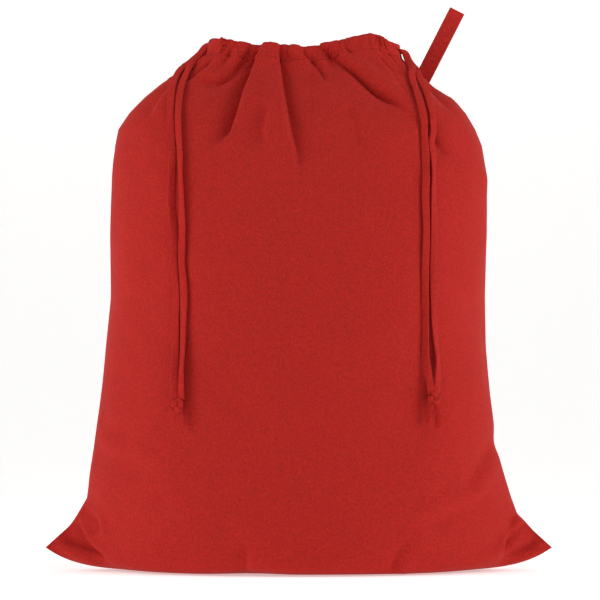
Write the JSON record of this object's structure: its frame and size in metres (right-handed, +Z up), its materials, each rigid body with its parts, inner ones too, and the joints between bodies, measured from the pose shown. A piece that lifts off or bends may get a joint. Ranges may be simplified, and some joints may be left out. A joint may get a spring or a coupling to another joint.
{
  "type": "drawstring gift sack",
  "caption": "Large cloth drawstring sack, standing full on its base, with gathered casings at the mouth, knotted drawcords and a hanging loop.",
  "frame": {"origin": "middle of the base, on the surface the sack stands on", "axes": "+Z up, front of the sack towards -Y, +X to the right seen from the front"},
  "size_m": [0.612, 0.3042, 0.6841],
  "materials": {
    "sack_cloth": "matte",
    "tie_cloth": "matte",
    "loop_webbing": "matte",
    "sewing_thread": "satin"
  },
  "bodies": {
    "sack": {"back_panel": "sack_cloth", "bottom_seam_allowance": "sack_cloth", "bottom_seam_stitching": "sewing_thread", "front_panel": "sack_cloth", "hanging_loop_sewn_end": "loop_webbing", "hanging_loop_stitching": "sewing_thread", "left_drawcord_right_bend": "tie_cloth", "left_hem_end": "sack_cloth", "left_opening_bartack": "sewing_thread", "left_side_seam_allowance": "sack_cloth", "left_side_seam_stitching": "sewing_thread", "right_drawcord_left_bend": "tie_cloth", "right_hem_end": "sack_cloth", "right_opening_bartack": "sewing_thread", "right_side_seam_allowance": "sack_cloth", "right_side_seam_stitching": "sewing_thread"},
    "front_mouth": {"front_casing": "sack_cloth", "front_casing_stitching": "sewing_thread", "left_drawcord_front_run": "tie_cloth", "right_drawcord_front_run": "tie_cloth"},
    "back_mouth": {"back_casing": "sack_cloth", "back_casing_stitching": "sewing_thread", "left_drawcord_back_run": "tie_cloth", "right_drawcord_back_run": "tie_cloth"},
    "left_drawcord": {"left_drawcord_front_shoulder": "tie_cloth", "left_drawcord_back_shoulder": "tie_cloth"},
    "right_drawcord": {"right_drawcord_front_shoulder": "tie_cloth", "right_drawcord_back_shoulder": "tie_cloth"},
    "left_cord_ends": {"left_drawcord_front_hanging": "tie_cloth", "left_drawcord_back_hanging": "tie_cloth", "left_knot": "tie_cloth", "left_knot_tails": "tie_cloth"},
    "right_cord_ends": {"right_drawcord_front_hanging": "tie_cloth", "right_drawcord_back_hanging": "tie_cloth", "right_knot": "tie_cloth", "right_knot_tails": "tie_cloth"},
    "loop": {"hanging_loop": "loop_webbing"}
  },
  "joints": [
    {"name": "mouth_draw", "type": "slide", "parent": "sack", "child": "front_mouth", "axis": [0, 1, 0], "range_m": [0, 0.026], "deforming": ["left_hem_end", "right_hem_end", "left_drawcord_right_bend", "right_drawcord_left_bend"]},
    {"name": "back_mouth_draw", "type": "slide", "parent": "sack", "child": "back_mouth", "axis": [0, -1, 0], "range_m": [0, 0.026]},
    {"name": "left_cord_pull", "type": "slide", "parent": "sack", "child": "left_drawcord", "axis": [0, -0.2099, -0.9777], "range_m": [0, 0.044], "deforming": ["left_drawcord_front_shoulder", "left_drawcord_back_shoulder"]},
    {"name": "right_cord_pull", "type": "slide", "parent": "sack", "child": "right_drawcord", "axis": [0, -0.2099, -0.9777], "range_m": [0, 0.044], "deforming": ["right_drawcord_front_shoulder", "right_drawcord_back_shoulder"]},
    {"name": "left_cord_swing", "type": "hinge", "parent": "left_drawcord", "child": "left_cord_ends", "pos_m": [-0.1454, -0.0986, 0.505], "axis": [-1, 0, 0], "range_deg": [0, 110]},
    {"name": "right_cord_swing", "type": "hinge", "parent": "right_drawcord", "child": "right_cord_ends", "pos_m": [0.1574, -0.095, 0.505], "axis": [-1, 0, 0], "range_deg": [0, 110]},
    {"name": "loop_swing", "type": "hinge", "parent": "sack", "child": "loop", "pos_m": [0.14197, 0.06033, 0.57863], "axis": [0.891, 0, -0.454], "range_deg": [-110, 25], "stiffness_Nm_per_rad": 0.006}
  ],
  "couplings": [
    {"joint": "back_mouth_draw", "follows": "mouth_draw", "ratio": 1},
    {"joint": "left_cord_pull", "follows": "mouth_draw", "ratio": 1.6923},
    {"joint": "right_cord_pull", "follows": "mouth_draw", "ratio": 1.6923}
  ]
}
